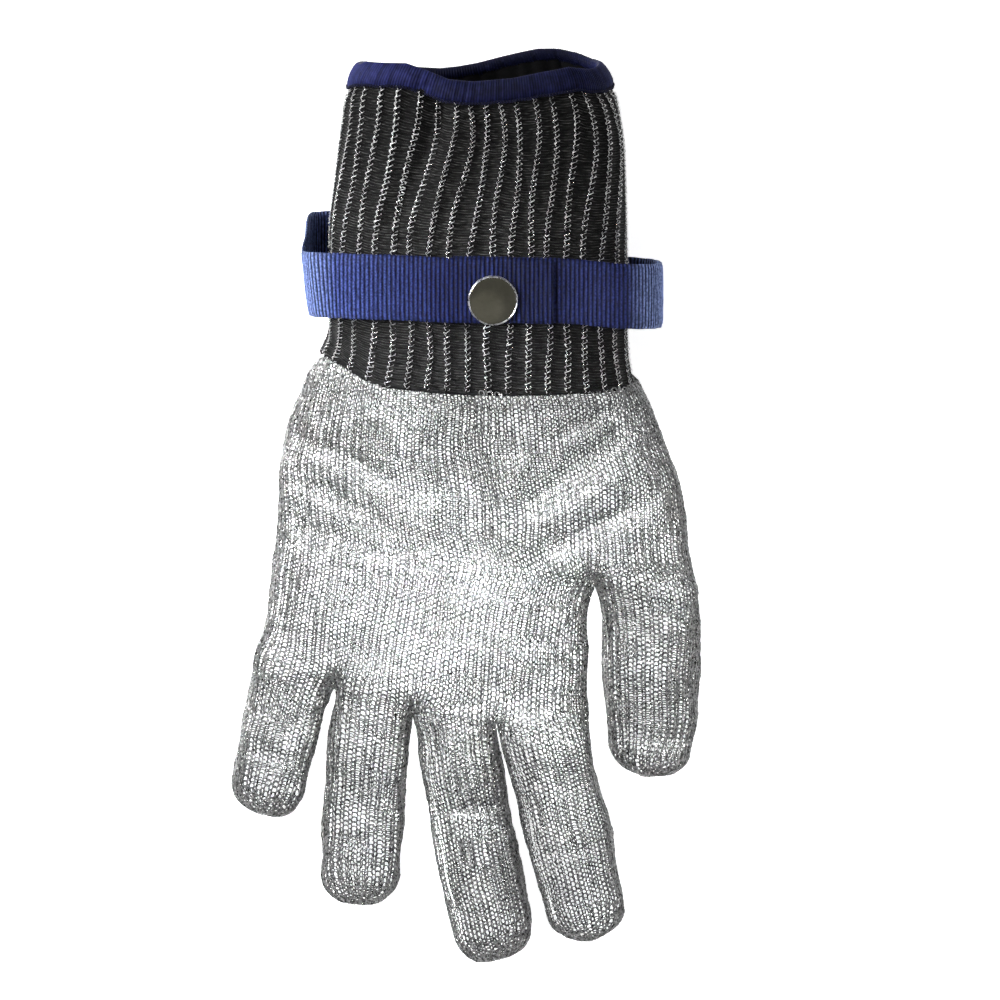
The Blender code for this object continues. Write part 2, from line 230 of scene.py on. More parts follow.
def make_object(name, points, faces, material, tone=None):
    """A mesh object from millimetre points and quads. tone, for the shader, is one number or one a point."""
    points = to_metres(points)
    faces = np.asarray(faces, np.int32)
    mesh = bpy.data.meshes.new(name)
    mesh.vertices.add(len(points))
    mesh.vertices.foreach_set("co", points.astype(np.float32).ravel())
    mesh.loops.add(faces.size)
    mesh.loops.foreach_set("vertex_index", faces.ravel())
    mesh.polygons.add(len(faces))
    mesh.polygons.foreach_set("loop_start", np.arange(0, faces.size, 4, dtype=np.int32))
    mesh.polygons.foreach_set("use_smooth", np.ones(len(faces), bool))
    mesh.update(calc_edges=True)
    if tone is not None:
        layer = mesh.attributes.new("tone", "FLOAT", "POINT")
        values = np.clip(tone, 0.0, 1.0).astype(np.float32).ravel()
        layer.data.foreach_set("value", np.broadcast_to(values, len(points)).copy())
    mesh.materials.append(material)
    made = bpy.data.objects.new(name, mesh)
    bpy.context.scene.collection.objects.link(made)
    return made


def grid_faces(rows, columns, wrap_rows=False, wrap_columns=True):
    """Quads over a grid of points stored row by row."""
    last_row = rows if wrap_rows else rows - 1
    last_column = columns if wrap_columns else columns - 1
    r, c = np.meshgrid(np.arange(last_row), np.arange(last_column), indexing="ij")
    r2 = (r + 1) % rows
    c2 = (c + 1) % columns
    corners = [r * columns + c, r * columns + c2, r2 * columns + c2, r2 * columns + c]
    return np.stack(corners, -1).reshape(-1, 4)


def tubes(paths, normals, radius, closed=True, sides=4):
    """Tubes along many paths of equal length, (path, point, 3). radius is one number or one for each point.

    Open tubes are capped, and have four sides.
    """
    if closed:
        tangent = np.roll(paths, -1, 1) - np.roll(paths, 1, 1)
    else:
        tangent = np.gradient(paths, axis=1)
    tangent = unit(tangent)
    up = unit(normals - (normals * tangent).sum(2, keepdims=True) * tangent)
    side = np.cross(tangent, up)
    angles = 2 * np.pi * (np.arange(sides) + 0.5) / sides
    ring = up[:, :, None] * np.cos(angles)[:, None] + side[:, :, None] * np.sin(angles)[:, None]
    points = paths[:, :, None] + np.asarray(radius)[..., None, None] * ring
    count, length = paths.shape[:2]
    first_points = (np.arange(count) * length * sides)[:, None, None]
    faces = grid_faces(length, sides, wrap_rows=closed)[None] + first_points
    if not closed:
        ends = np.array([[0, 1, 2, 3], [3, 2, 1, 0]])
        ends[1] += (length - 1) * sides
        faces = np.concatenate([faces, ends[None] + first_points], 1)
    return points.reshape(-1, 3), faces.reshape(-1, 4)


def joined(parts):
    """One (points, faces) pair from several."""
    starts = np.cumsum([0] + [len(points) for points, _ in parts[:-1]])
    faces = [faces + start for (_, faces), start in zip(parts, starts)]
    return np.concatenate([points for points, _ in parts]), np.concatenate(faces)


def section_table(width, low, high, fractions, grow, roundness=ROUNDNESS):
    """Points (across, z) at fractions of the way round a section, from its left side over the top."""
    half_width = width / 2 + grow
    bottom = low - grow
    top = high + grow
    half_height = (top - bottom) / 2 * BELLY
    angle = np.linspace(np.pi, -np.pi, SECTION_POINTS)
    cos, sin = np.cos(angle), np.sin(angle)
    across = half_width * np.sign(cos) * np.abs(cos) ** (2 / roundness)
    height = top - half_height + half_height * np.sign(sin) * np.abs(sin) ** (2 / roundness)
    height = np.maximum(height, bottom)
    steps = np.hypot(np.diff(across), np.diff(height))
    length = np.concatenate([[0.0], np.cumsum(steps)])
    at = np.asarray(fractions) * length[-1]
    return np.interp(at, length, across), np.interp(at, length, height)


def placed(x, y, turn, across, along, z):
    """The points of a section at (x, y), turned about the vertical."""
    cos, sin = math.cos(turn), math.sin(turn)
    return np.stack([x + across * cos + along * sin, y + across * sin - along * cos, z], -1)


def line_y(line, x):
    xs, ys = zip(*line)
    return np.interp(x, xs, ys)


class Surface:
    """Evenly spaced rows of points, one to each column of stitches."""

    def at(self, s):
        """Points for an array of s of shape (rows, columns)."""
        place = np.clip((s - self.s[0]) / (self.s[1] - self.s[0]), 0, len(self.s) - 1.001)
        low = place.astype(int)
        share = (place - low)[..., None]
        column = np.arange(s.shape[1])[None, :]
        return self.points[low, column] * (1 - share) + self.points[low + 1, column] * share


class HandSurface(Surface):
    """A part of the hand whose sections lie across Y. Its s is y."""

    def __init__(self, stations, columns):
        ys, *fields = np.array(sorted(stations)).T
        self.s = np.linspace(ys[0], ys[-1], 90)
        fields = smoothed([np.interp(self.s, ys, field) for field in fields], 5)
        fractions = (np.arange(columns) + 0.5) / columns
        self.points = np.empty((len(self.s), columns, 3))
        for row, (y, left, right, low, high) in enumerate(zip(self.s, *fields)):
            across, z = section_table(right - left, low, high, fractions, SKIN)
            self.points[row] = placed((left + right) / 2, y, 0.0, across, 0.0, z)


class DigitSurface(Surface):
    """A digit: sections square to a centre line, with a rounded end. Its s runs from root to tip."""

    def __init__(self, line, columns):
        line = np.array(line, float)
        run = np.concatenate([[0.0], np.cumsum(np.hypot(*np.diff(line[:, :2], axis=0).T))])
        self.length = run[-1]
        self.s = np.linspace(0.0, run[-1], 120)
        x, y, width, height = smoothed([np.interp(self.s, run, field) for field in line.T], 9)
        turn = np.arctan2(np.gradient(x), -np.gradient(y))
        fractions = (np.arange(columns) + 0.5) / columns
        self.points = np.empty((len(self.s), columns, 3))
        flat_end = self.length - DOME
        for row, s in enumerate(self.s):
            shrink, reach = 1.0, 0.0
            if s > flat_end:
                angle = min(0.9999, (s - flat_end) / DOME) * np.pi / 2
                shrink = math.cos(angle) ** DOME_POWER
                reach = DOME * math.sin(angle) ** DOME_POWER - (s - flat_end)
            high = height[row] * shrink
            low = DIGIT_LOW + (height[row] - high) / 2
            wide, high = max(width[row] * shrink, DOME_TIP_WIDTH), max(high, DOME_TIP_WIDTH)
            across, z = section_table(wide, low, low + high, fractions, SKIN * shrink, DIGIT_ROUNDNESS)
            self.points[row] = placed(x[row], y[row], turn[row], across, reach, z)

    def start(self, edge):
        """For each column, the s at which it crosses a line of x and y."""
        gap = self.points[:, :, 1] - line_y(edge, self.points[:, :, 0])
        crossed = np.argmax(gap < 0, axis=0)
        column = np.arange(gap.shape[1])
        before, after = gap[crossed - 1, column], gap[crossed, column]
        return self.s[crossed - 1] + (self.s[1] - self.s[0]) * before / (before - after)


def waves(points, scale, count, seed):
    """A smooth random field over points, about from -1 to 1."""
    dice = np.random.default_rng(seed)
    total = np.zeros(points.shape[:-1])
    for _ in range(count):
        direction = dice.normal(size=3)
        direction *= 2 * np.pi / (scale * dice.uniform(0.7, 1.6) * np.linalg.norm(direction))
        total += np.sin(points @ direction + dice.uniform(0, 2 * np.pi))
    return total / math.sqrt(count)


def ridge(points, start, end, width):
    """1 on the line from start to end in plan, falling away over width."""
    start, end = np.array(start, float), np.array(end, float)
    run = end - start
    share = np.clip(((points[..., :2] - start) @ run) / (run @ run), 0.0, 1.0)
    nearest = start + share[..., None] * run
    distance = np.linalg.norm(points[..., :2] - nearest, axis=-1)
    fade = np.sin(np.pi * np.clip(share, 0.04, 0.96)) ** 0.5
    return bell(distance, 0.0, width) * fade


def relief(points):
    """Height added to the hand's skin, in millimetres: its folds, creases and slack."""
    z = points[..., 2]
    on_top = rise(z, 12.0, 8.0)
    height = 0.6 * waves(points, 26.0, 10, 3) + 0.34 * waves(points, 10.0, 14, 4)
    folds = sum(high * ridge(points, start, end, width) for high, start, end, width in FOLDS)
    return height * rise(z, 0.6, 3.0) + folds * on_top


def grid_normals(grid):
    """Outward normals of a grid of points whose columns wrap."""
    along = np.gradient(grid, axis=0)
    across = np.roll(grid, -1, 1) - np.roll(grid, 1, 1)
    normal = unit(np.cross(across, along))
    centre = grid.mean(1, keepdims=True)
    outward = np.sign(((grid - centre) * normal).sum(2).mean())
    return normal * outward


def finish_grid(grid):
    """Adds folds and the small unevenness of real knitting to a grid."""
    normal = grid_normals(grid)
    drift = np.zeros_like(grid)
    drift[..., 0] = 0.32 * waves(grid, 13.0, 8, 21)
    drift[..., 1] = 0.28 * waves(grid, 10.0, 8, 22)
    facing = 0.35 + 0.65 * np.abs(normal[..., 2])
    grid = grid + normal * (relief(grid) * facing)[..., None] + drift
    jitter = RANDOM.normal(0.0, 1.0, grid.shape)
    row_slack = RANDOM.normal(0.0, ROW_SLACK, (grid.shape[0], 1, 3))
    column_slack = RANDOM.normal(0.0, COLUMN_SLACK, (1, grid.shape[1], 3))
    grid = grid + jitter * JITTER + row_slack + column_slack
    grid = raised(grid, -SKIN)
    first = 2 * grid[:1] - grid[1:2]
    last = 2 * grid[-1:] - grid[-2:-1]
    return np.concatenate([first, grid, last], 0)


def sample_grid(grid, rows, columns):
    """Bilinear lookup in a grid whose columns wrap."""
    count = grid.shape[1]
    low_row = np.clip(np.floor(rows).astype(int), 0, grid.shape[0] - 2)
    low_column = np.floor(columns).astype(int)
    r = (rows - low_row)[..., None]
    c = (columns - low_column)[..., None]
    left, right = low_column % count, (low_column + 1) % count
    near = grid[low_row, left] * (1 - c) + grid[low_row, right] * c
    far = grid[low_row + 1, left] * (1 - c) + grid[low_row + 1, right] * c
    return near * (1 - r) + far * r


def knit(grid, first_row, last_row, stride):
    """Yarn paths for rows of a grid: one closed yarn a row, with a stitch to every stride columns."""
    normal = grid_normals(grid)
    columns = grid.shape[1] // stride
    rows = np.arange(first_row, last_row) + 1.0
    t = 2 * np.pi * np.arange(columns * SAMPLES) / SAMPLES
    across = stride * (t + LOOP_WIDTH * np.sin(2 * t) - LOOP_PINCH * np.sin(t)) / (2 * np.pi)
    row = rows[:, None] + LOOP_HEIGHT * np.cos(t)[None, :]
    column = np.broadcast_to(across[None, :], row.shape)
    place = sample_grid(grid, row, column)
    up = unit(sample_grid(normal, row, column))
    return place - up * (LOOP_DEPTH * np.cos(2 * t))[None, :, None], up


def column_y(surface, columns, line):
    """For each column, the y at which it meets a line of x and y."""
    y = np.zeros((1, columns))
    for _ in range(6):
        y = line_y(line, surface.at(y)[..., 0])
    return y


def spread_rows(first, last, rows):
    """y of every stitch, with rows spread evenly along each column."""
    share = np.linspace(0.0, 1.0, rows)[:, None]
    return first * (1 - share) + last * share


def merged_grid(surface, y, line, reach, children):
    """A finished grid of the surface at y that turns into its children's shapes over reach above a line.

    children has a child surface and its own column for each column.
    """
    grid = surface.at(y)
    share = (smooth_step((line_y(line, grid[..., 0]) + reach - y) / reach) ** 1.6)[..., None]
    below = grid.copy()
    for column, (child, source) in enumerate(children):
        table = child.points[:, source]
        if table[0, 1] > table[-1, 1]:
            table = table[::-1]
        for axis in (0, 2):
            below[:, column, axis] = np.interp(y[:, column], table[:, 1], table[:, axis])
    return finish_grid(grid * (1 - share) + below * share)


def knit_piece(name, grid, rows, material, stride=1, caps=(), wire=WIRE, slack=0.0):
    """One piece of knit over rows (first, last) of a grid. slack thins the wire on its left side."""
    paths, normals = knit(grid, *rows, stride)
    wire = wire * (1.0 - slack * smooth_step((-normals[..., 0] - 0.3) / 0.4))
    points, faces = joined([tubes(paths, normals, wire), *caps])
    return make_object(name, raised(points, KNIT_FLOOR), faces, material)


def facing_sides(surface, faces):
    """1 in the middle of the sides that face another digit, falling to 0 on the front and back."""
    x = surface.points[20, :, 0]
    across = (x - x.min()) / (x.max() - x.min()) * 2 - 1
    return sum(smooth_step((side * across - 0.72) / 0.26) * faced for side, faced in zip((-1, 1), faces))


def closing_yarns(grid, centre, tangent):
    """The end of a digit: a few turns of wire drawn together, with a small knot."""
    last_row = grid[-2, ::2]
    paths = np.stack([centre + (last_row - centre) * share for share in (0.82, 0.5, 0.2)])
    drawn = tubes(paths, np.broadcast_to(tangent, paths.shape), WIRE)
    t = np.linspace(0.0, 2 * np.pi, 40, endpoint=False)
    side = np.array([tangent[1], -tangent[0], 0.0])
    up = np.array([0.0, 0.0, 1.0])
    knot = (
        centre
        + np.outer(0.5 * np.sin(t) + 0.35 * np.sin(2 * t), side)
        + np.outer(0.5 * np.cos(t) - 0.35 * np.cos(2 * t), up)
        + np.outer(-0.1 - 0.25 * np.sin(3 * t), tangent)
    )[None]
    tied = tubes(knot, np.broadcast_to(tangent, knot.shape), WIRE * 1.1)
    return [drawn, tied]


def put(node, **values):
    """Sets inputs of a node. An underscore in a name stands for a space."""
    for name, value in values.items():
        node.inputs[name.replace("_", " ")].default_value = value


def grey(value):
    return (value, value, value)


class Look:
    """A material in the making."""

    def __init__(self, name):
        self.material = bpy.data.materials.new(name)
        self.material.use_nodes = True
        self.nodes = self.material.node_tree.nodes
        self.links = self.material.node_tree.links
        self.shader = self.nodes["Principled BSDF"]

    def node(self, kind, **values):
        made = self.nodes.new("ShaderNode" + kind)
        put(made, **values)
        return made

    def feed(self, name, source):
        self.links.new(source, self.shader.inputs[name])

    def ramp(self, source, stops):
        """A ramp of colours. Stops are (place, colour)."""
        ramp = self.node("ValToRGB")
        elements = ramp.color_ramp.elements
        while len(elements) < len(stops):
            elements.new(0.5)
        for element, (place, colour) in zip(elements, stops):
            element.position = place
            element.color = (*colour, 1.0)
        self.links.new(source, ramp.inputs["Fac"])
        return ramp.outputs["Color"]

    def noise(self, scale, detail, stretch=(1.0, 1.0, 1.0)):
        """Noise in object space."""
        where = self.node("TexCoord")
        mapping = self.node("Mapping", Scale=stretch)
        noise = self.node("TexNoise", Scale=scale, Detail=detail)
        self.links.new(where.outputs["Object"], mapping.inputs["Vector"])
        self.links.new(mapping.outputs["Vector"], noise.inputs["Vector"])
        return noise.outputs["Fac"]

    def noise_ramp(self, scale, stops, stretch=(1.0, 1.0, 1.0)):
        return self.ramp(self.noise(scale, 3.0, stretch), stops)

    def tone_ramp(self, low, high):
        """A ramp driven by the mesh's tone attribute."""
        attribute = self.node("Attribute")
        attribute.attribute_name = "tone"
        return self.ramp(attribute.outputs["Fac"], [(0.0, low), (1.0, high)])

    def multiply(self, first, second):
        mix = self.node("Mix")
        mix.data_type = "RGBA"
        mix.blend_type = "MULTIPLY"
        put(mix, Factor=1.0)
        self.links.new(first, mix.inputs["A"])
        self.links.new(second, mix.inputs["B"])
        return mix.outputs["Result"]

    def bump(self, scale, strength, distance):
        bump = self.node("Bump", Strength=strength, Distance=distance)
        self.links.new(self.noise(scale, 2.0), bump.inputs["Height"])
        self.feed("Normal", bump.outputs["Normal"])


def steel_wire(name, dark, bright, rough_low, rough_high):
    """Spun stainless wire: metal of varying shade and gloss, with fine strands."""
    look = Look(name)
    look.feed("Base Color", look.noise_ramp(1100.0, [(0.4, grey(dark)), (0.62, grey(bright))]))
    look.feed("Roughness", look.noise_ramp(900.0, [(0.3, grey(rough_low)), (0.7, grey(rough_high))]))
    look.bump(2600.0, 0.35, 0.0001)
    put(look.shader, Metallic=1.0)
    return look.material


def yarn(name, low, high, roughness, scale):
    """Spun yarn, from dark at tone 0 to pale at tone 1, whose colour also wanders a little."""
    look = Look(name)
    drift = look.noise_ramp(scale, [(0.35, grey(0.55)), (0.65, grey(1.0))])
    look.feed("Base Color", look.multiply(look.tone_ramp(low, high), drift))
    look.bump(3000.0, 0.5, 0.00015)
    put(look.shader, Roughness=roughness, Specular_IOR_Level=0.06)
    return look.material


def polished_metal(name, colours, rough_low, rough_high, scale):
    """Plated metal with faint wear marks and a colour that drifts."""
    look = Look(name)
    look.feed("Base Color", look.noise_ramp(scale, [(0.35, colours[0]), (0.65, colours[1])]))
    look.feed("Roughness", look.noise_ramp(700.0, [(0.4, grey(rough_low)), (0.75, grey(rough_high))]))
    put(look.shader, Metallic=1.0)
    return look.material


# ---- camera, light and floor

TARGET = Vector((0.01, 0.0046, 0.02))
TILT_DEG = 9.0
CAMERA_DISTANCE = 4.0
VIEW_WIDTH = 0.3
SENSOR_WIDTH = 36.0
LIT_POINT = Vector((0.0, -0.02, 0.02))
# Round area lights: name, place, size, power in watts and spread in degrees.
LIGHTS = [
    ("key", (-1.2, 0.6, 0.62), 0.5, 27.0, 180.0),
    ("near", (-0.34, 0.16, 0.60), 0.16, 0.46, 20.0),
    ("fill", (1.1, 0.15, 0.6), 0.5, 3.2, 180.0),
    ("low", (0.1, -1.2, 0.6), 0.6, 2.0, 180.0),
    ("palm", (0.0, -0.42, 0.62), 0.05, 0.011, 6.0),
    ("card", (-0.03, -0.24, 1.9), 0.2, 0.012, 180.0),
]
WORLD_COLOUR = (0.95, 0.97, 1.0, 1.0)
WORLD_STRENGTH = 0.16
FLOOR_SIZE = 6.0
FLOOR_DROP = 0.0002
FLOOR_GLOW = 0.86


def build_stage():
    scene = bpy.context.scene
    tilt = math.radians(TILT_DEG)
    camera_data = bpy.data.cameras.new("camera")
    camera_data.sensor_width = SENSOR_WIDTH
    camera_data.lens = SENSOR_WIDTH * CAMERA_DISTANCE / VIEW_WIDTH
    camera_data.clip_end = 100.0
    camera = bpy.data.objects.new("camera", camera_data)
    camera.location = TARGET + CAMERA_DISTANCE * Vector((0.0, math.sin(tilt), math.cos(tilt)))
    camera.rotation_euler = (-tilt, 0.0, 0.0)
    scene.collection.objects.link(camera)
    scene.camera = camera

    for name, place, size, power, spread in LIGHTS:
        data = bpy.data.lights.new(name, "AREA")
        data.shape = "DISK"
        data.size = size
        data.energy = power
        data.spread = math.radians(spread)
        lamp = bpy.data.objects.new(name, data)
        lamp.location = place
        lamp.rotation_euler = (LIT_POINT - Vector(place)).to_track_quat("-Z", "Y").to_euler()
        scene.collection.objects.link(lamp)

    world = bpy.data.worlds.new("world")
    world.use_nodes = True
    put(world.node_tree.nodes["Background"], Color=WORLD_COLOUR, Strength=WORLD_STRENGTH)
    scene.world = world
    scene.view_settings.view_transform = "Standard"

    look = Look("floor")
    white = look.noise_ramp(3.0, [(0.3, grey(0.93)), (0.7, grey(0.95))])
    look.feed("Base Color", white)
    look.feed("Emission Color", white)
    put(look.shader, Emission_Strength=FLOOR_GLOW, Roughness=0.9)
    mesh = bpy.data.meshes.new("floor")
    side, drop = FLOOR_SIZE, FLOOR_DROP
    corners = [(-side, -side, -drop), (side, -side, -drop), (side, side, -drop), (-side, side, -drop)]
    mesh.from_pydata(corners, [], [(0, 1, 2, 3)])
    mesh.materials.append(look.material)
    floor = bpy.data.objects.new("floor", mesh)
    scene.collection.objects.link(floor)


# ---- the hand


def build_hand(material, wrist_y):
    """The knitted hand. wrist_y(columns) gives where each column starts, just inside the cuff."""
    palm_columns = 2 * PALM_FRONT + 2 * SIDE
    finger_columns = 2 * FINGER_FRONT + 2 * SIDE
    thumb_side = SIDE + 1
    thumb_columns = 2 * THUMB_FRONT + 2 * thumb_side
    upper_columns = 2 * (PALM_FRONT + THUMB_FRONT) + SIDE + thumb_side

    surfaces = {
        name: DigitSurface(digit["line"], thumb_columns if name == "thumb" else finger_columns)
        for name, digit in DIGITS.items()
    }
    lower = HandSurface(LOWER_HAND, palm_columns)
    upper = HandSurface(UPPER_HAND, upper_columns)

    half = SIDE // 2
    thumb = surfaces["thumb"]
    fingers = [surfaces[name] for name in ("little", "ring", "middle", "index")]
    little, index = fingers[0], fingers[-1]

    def columns_of(surface, first, count):
        return [(surface, first + column) for column in range(count)]

    to_fingers = columns_of(little, 0, half)
    for finger in fingers:
        to_fingers += columns_of(finger, half, FINGER_FRONT)
    to_fingers += columns_of(index, half + FINGER_FRONT, SIDE)
    for finger in reversed(fingers):
        to_fingers += columns_of(finger, half + FINGER_FRONT + SIDE, FINGER_FRONT)
    to_fingers += columns_of(little, finger_columns - SIDE + half, SIDE - half)

    to_lower = columns_of(lower, 0, half + PALM_FRONT)
    to_lower += columns_of(thumb, half, 2 * THUMB_FRONT + thumb_side)
    to_lower += columns_of(lower, half + PALM_FRONT + SIDE, PALM_FRONT)
    to_lower += columns_of(lower, palm_columns - SIDE + half, SIDE - half)

    upper_y = spread_rows(wrist_y(upper_columns), column_y(upper, upper_columns, THUMB_LINE), UPPER_ROWS)
    upper_grid = merged_grid(upper, upper_y, THUMB_LINE, THUMB_MERGE, to_lower)
    top, end = (column_y(lower, palm_columns, line) for line in (THUMB_LINE, FINGER_LINE))
    lower_y = spread_rows(top, end, LOWER_ROWS)
    lower_grid = merged_grid(lower, lower_y, FINGER_LINE, FINGER_MERGE, to_fingers)

    parts = [(upper_grid, rows) for rows in UPPER_PIECES] + [(lower_grid, rows) for rows in LOWER_PIECES]
    palm_pieces = [knit_piece(f"hand_knit_{i + 1}", *part, material) for i, part in enumerate(parts)]
    for piece in palm_pieces:
        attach(piece, "glove")
    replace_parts(palm_pieces[0], "palm_shell")

    for name, digit in DIGITS.items():
        surface = surfaces[name]
        edge = THUMB_LINE if name == "thumb" else FINGER_LINE
        start = surface.start(edge) - CROTCH_LIFT * facing_sides(surface, digit["faces"])
        flat_end = surface.length - DOME
        plain_rows = int(round((flat_end - start.mean()) / ROW_PITCH))
        share = (np.arange(plain_rows) / plain_rows)[:, None]
        plain = start[None] * (1 - share) + flat_end * share
        ends = flat_end + DOME * np.linspace(0.0, DOME_END / 90.0, DOME_ROWS)
        s = np.concatenate([plain, np.repeat(ends[:, None], plain.shape[1], 1)])
        grid = finish_grid(surface.at(s))
        knuckle, bend = digit["knuckle"], digit["bend"]
        split = int(np.argmax(grid[1:-1, :, 1].mean(1) < (knuckle[1] + bend[0]) / 2))
        thin = plain_rows + DOME_ROWS // 2
        wire = {key: digit[key] for key in ("wire", "slack")}
        root = knit_piece(f"{name}_knit_root", grid, (1, split), material, **wire)
        end = knit_piece(f"{name}_knit_end", grid, (split, thin), material, **wire)
        tangent = grid[-1].mean(0) - grid[-4].mean(0)
        tangent /= np.linalg.norm(tangent)
        caps = closing_yarns(grid, grid[-2].mean(0) + tangent * 0.4, tangent)
        cap = knit_piece(f"{name}_knit_tip", grid, (thin, len(s)), material, stride=2, caps=caps)
        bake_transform(root)
        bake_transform(end)
        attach(cap, f"{name}_end_part")
        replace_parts(root, f"{name}_base")
        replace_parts(end, f"{name}_tip")


# ---- the rib cuff

# Cuff stations: y, centre x, turn in degrees, width, underside, top, and how far it leans with height.
CUFF = [
    (34, -0.2, -2.2, 97, 2, 43.1, 0.08),
    (38.5, 0, -2.2, 94, 2.1, 43.2, 0.08),
    (43, 0.3, -2, 91, 2.2, 43.4, 0.07),
    (50, 0.4, -1.5, 89.8, 2.2, 43.8, 0.05),
    (68, 0.4, 0, 89.7, 2.2, 44, 0.02),
    (88, 0.4, 0, 89, 2.2, 43.4, 0),
    (106, 1.3, 0, 86.5, 2.2, 42.2, 0),
    (120, 1.5, 0, 83, 2.4, 41, 0),
    (131, 1, 0, 79.5, 2.6, 40, 0),
]
CUFF_SECTIONS = 150
CUFF_SAMPLES = 704
RIBS = 38
RIB_COLUMNS = 8
# The way round the cuff, in millimetres, and the height of one course of its knit.
CUFF_ROUND = 214.0
COURSE = 1.56
CUFF_START = 37.6
SEAM_LINE = 38.0
CUFF_END = 130.4
CHAIN_SPLIT = 84.0
CHAIN_POINTS = 6
CHAIN_RADIUS = 0.12
CROSS_RADIUS = 0.11
SEAM_RADIUS = 0.26
CORE_RADIUS = 0.8
# The waves of the mouth's front and back edges: x, and how far up.
FRONT_WAVE = (
    [-40, -36, -23, -17, -9, -1, 12, 21, 31, 38],
    [0.6, 2.8, 3.2, 1.4, -1.5, -2.2, -1.2, 0.4, 1.8, 0.6],
)
BACK_WAVE = (
    [-40, -34, -24, -12, -6, 0, 8, 15, 20, 27, 33, 38],
    [1.5, 0, -2, -2.6, -2, -1, 0.9, 2.4, 3.3, 3.4, 2.6, 1.3],
)
# How far the seam rises at its left corner.
SEAM_CORNER = 6.0
SEAM_TURNS = 190
SEAM_STRANDS = 3


class CuffSurface:
    """The cuff's outer face, in fractions of the way round and y along."""

    def __init__(self):
        self.y = np.linspace(CUFF[0][0], CUFF[-1][0], CUFF_SECTIONS)
        fields = [np.interp(self.y, [s[0] for s in CUFF], [s[i] for s in CUFF]) for i in range(1, 7)]
        fractions = np.arange(CUFF_SAMPLES) / CUFF_SAMPLES
        self.points = np.empty((len(self.y), CUFF_SAMPLES, 3))
        for row, (y, cx, turn, width, low, high, lean) in enumerate(zip(self.y, *smoothed(fields, 13))):
            across, z = section_table(width, low, high, fractions, 0.0)
            self.points[row] = placed(cx, y, math.radians(turn), across, lean * (z - 20.0), z)
        self.points += wavy_rim(self.points, self.y[:, None])
        self.normals = grid_normals(self.points)

    def at(self, fraction, y, lift):
        """Points lifted off the surface. fraction and y are arrays of one shape."""
        row = np.clip((y - self.y[0]) / (self.y[1] - self.y[0]), 0, len(self.y) - 1.001)
        column = (fraction % 1.0) * CUFF_SAMPLES
        place = sample_grid(self.points, row, column)
        normal = sample_grid(self.normals, row, column)
        normal /= np.linalg.norm(normal, axis=-1, keepdims=True)
        return place + normal * lift[..., None], normal


def wavy_rim(points, y):
    """How the cuff's mouth waves, narrows and dents, and how its seam rises at the left corner."""
    x, z = points[..., 0], points[..., 2]
    share = rise(y, 92.0, 38.0)
    front, back = np.interp(x, *FRONT_WAVE), np.interp(x, *BACK_WAVE)
    top = rise(z, 12.0, 18.0)
    right = smooth_step(x / 12.0) * rise(y, 108.0, 16.0)
    pinch = 0.03 * rise(y, 117.0, 14.0) + (0.008 + 0.022 * top) * right
    corner = smooth_step((-x - 27.0) / 20.0) * smooth_step((56.0 - y) / 18.0)
    moved = np.empty_like(points)
    moved[..., 0] = -x * (pinch + 0.05 * np.clip((y - 124.5) / 6.5, 0.0, 1.2) ** 1.6)
    moved[..., 1] = (front * top + back * (1 - top)) * share + SEAM_CORNER * corner
    moved[..., 2] = -1.6 * bell(x, 4.0, 20.0) * top * share
    return moved


def rib_lean(fraction, y):
    """The ribs' sideways lean, as a fraction of the way round."""
    twist = 0.021 * rise(y, 70.0, 56.0) - 0.006 * rise(y, 112.0, 18.0)
    left_fold = 0.01 * bell(fraction, 0.15, 0.07) * rise(y, 80.0, 40.0)
    sway = 0.003 * np.sin(y / 15.0 + 5.0 * fraction * 2 * np.pi)
    sway += 0.0016 * np.sin(y / 6.5 + 17.0 * fraction * 2 * np.pi)
    return twist + left_fold + sway * rise(y, 40.0, 12.0)


def fold_height(fraction, y):
    """Soft folds of the cuff in millimetres, mostly at its upper left."""
    slant = (y - 100.0) * 0.0008
    fold = -1.7 * bell(fraction - 0.145, slant, 0.016) + 0.9 * bell(fraction - 0.185, slant, 0.02)
    fold += -0.8 * bell(fraction - 0.36, (100.0 - y) * 0.0006, 0.018)
    wave = 0.25 * np.sin(2 * np.pi * fraction * 6 + y / 21.0)
    return (fold + wave) * rise(y, 80.0, 16.0) * smooth_step((133.0 - y) / 10.0)


def tuck(y):
    """How far the knit is drawn in beneath the edge binding, in millimetres."""
    return 0.8 * rise(y, 120.5, 3.5)


def cuff_piece(name, parts, material, tone=None):
    """A piece of the cuff from (points, faces) pairs."""
    points, faces = joined(parts)
    made = make_object(name, raised(points, CUFF_FLOOR), faces, material, tone)
    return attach(made, "glove")


